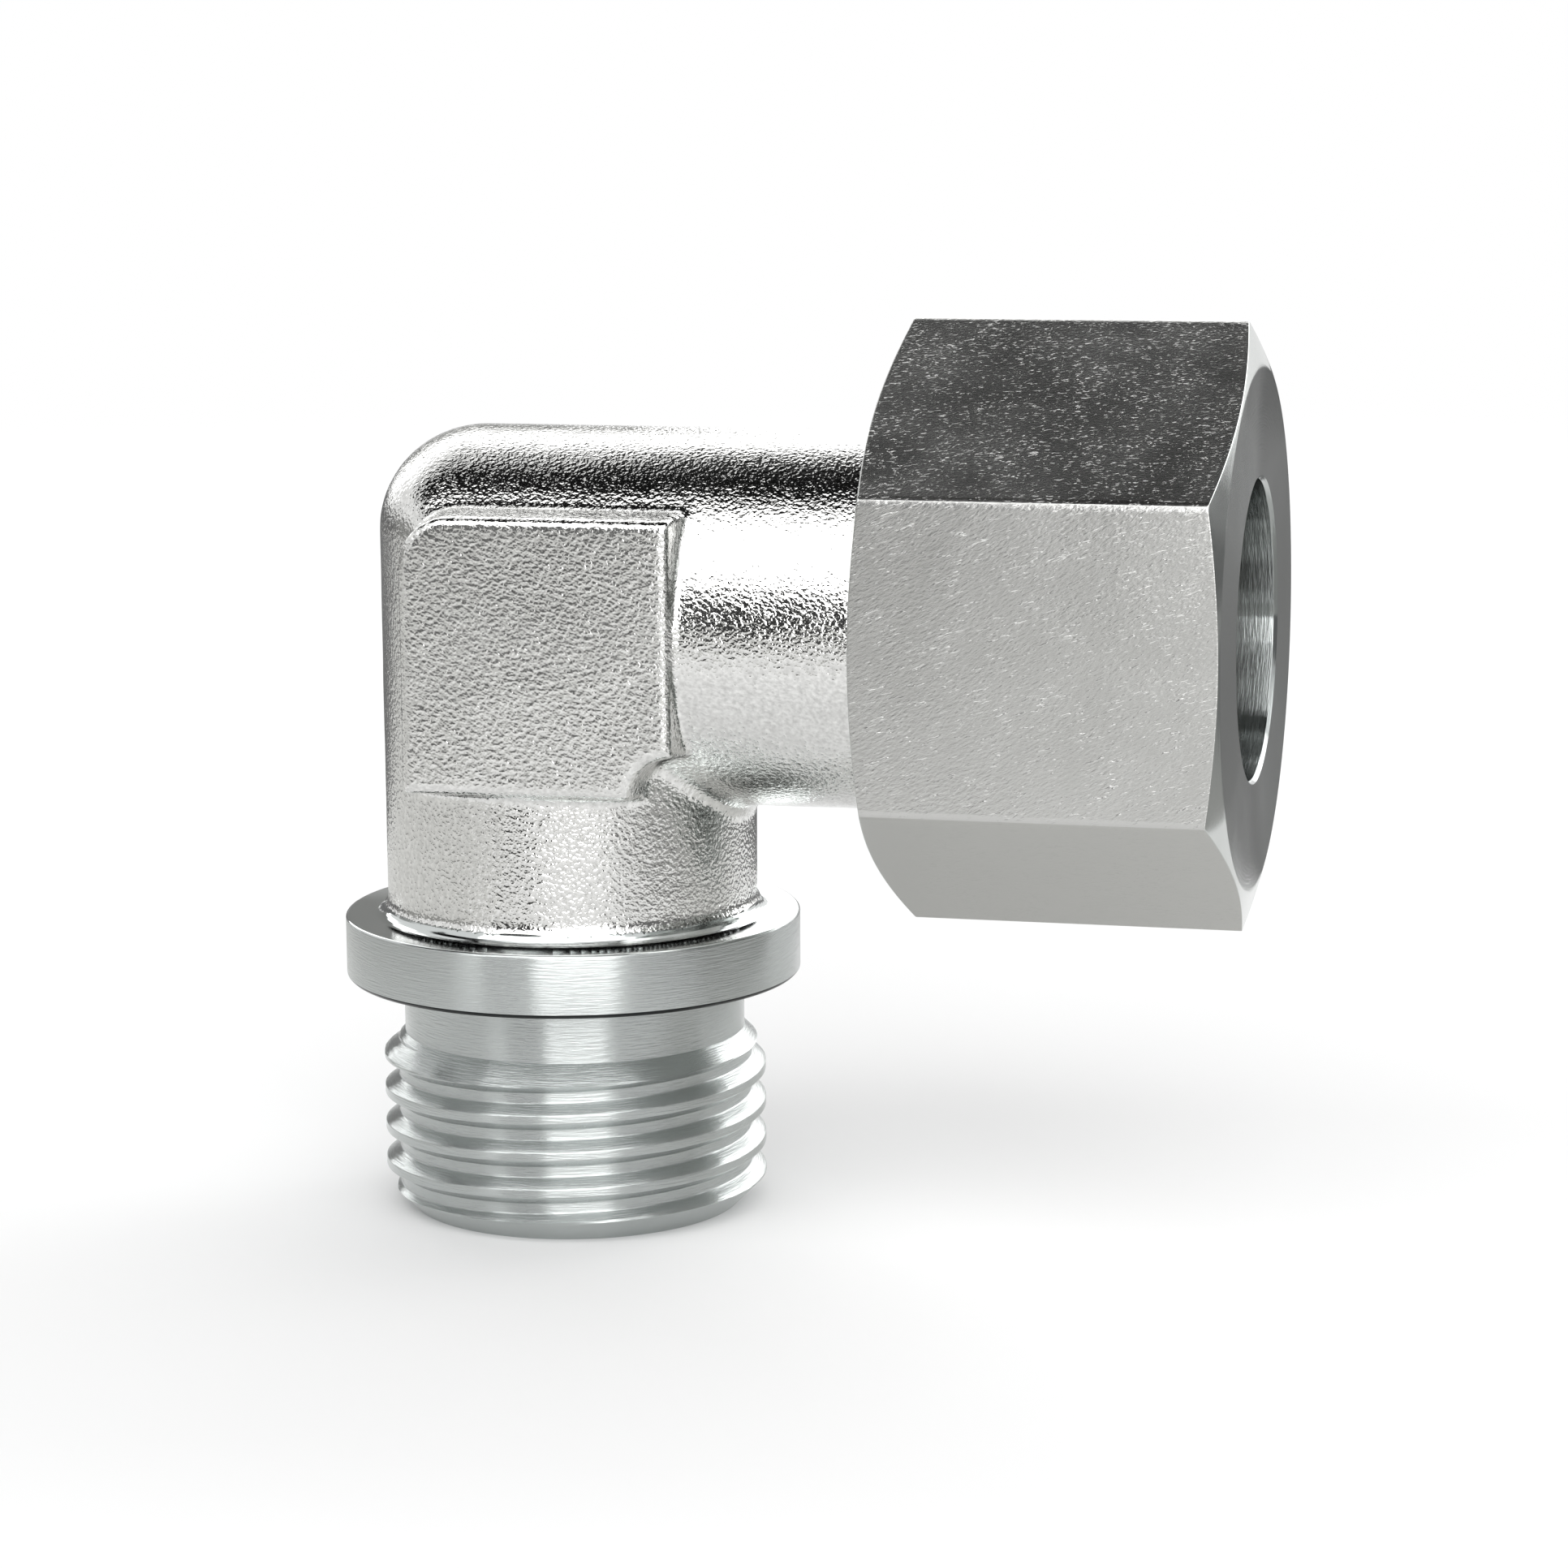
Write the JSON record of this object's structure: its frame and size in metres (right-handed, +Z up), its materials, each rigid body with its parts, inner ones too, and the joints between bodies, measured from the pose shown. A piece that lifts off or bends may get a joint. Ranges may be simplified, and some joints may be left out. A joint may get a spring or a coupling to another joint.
{
  "type": "elbow compression fitting",
  "caption": "Right-angle steel tube fitting: a forged elbow with a threaded male stud and collar, and a hexagon union nut with a cutting ring that grips a tube.",
  "frame": {"origin": "centre of the sealing face under the collar, where the fitting meets its port", "axes": "+Z up along the stud axis, away from the port; +X along the tube axis, out of the union nut"},
  "size_m": [0.0642, 0.036, 0.0627],
  "materials": {
    "body_steel": "zinc-plated forging, turned at the stud and collar",
    "nut_steel": "zinc-plated, turned and milled",
    "ring_steel": "turned, zinc-plated"
  },
  "bodies": {
    "body": {"elbow_body": "body_steel"},
    "ring": {"cutting_ring": "ring_steel"},
    "nut": {"union_nut": "nut_steel"}
  },
  "joints": [
    {"name": "ring_travel", "type": "slide", "parent": "body", "child": "ring", "axis": [1, 0, 0], "range_m": [0, 0.01]},
    {"name": "nut_turn", "type": "hinge", "parent": "ring", "child": "nut", "pos_m": [0.036, 0, 0.0255], "axis": [1, 0, 0], "range_deg": [0, 1800]}
  ],
  "couplings": [
    {"joint": "ring_travel", "follows": "nut_turn", "m_per_rad": 0.0003183}
  ]
}
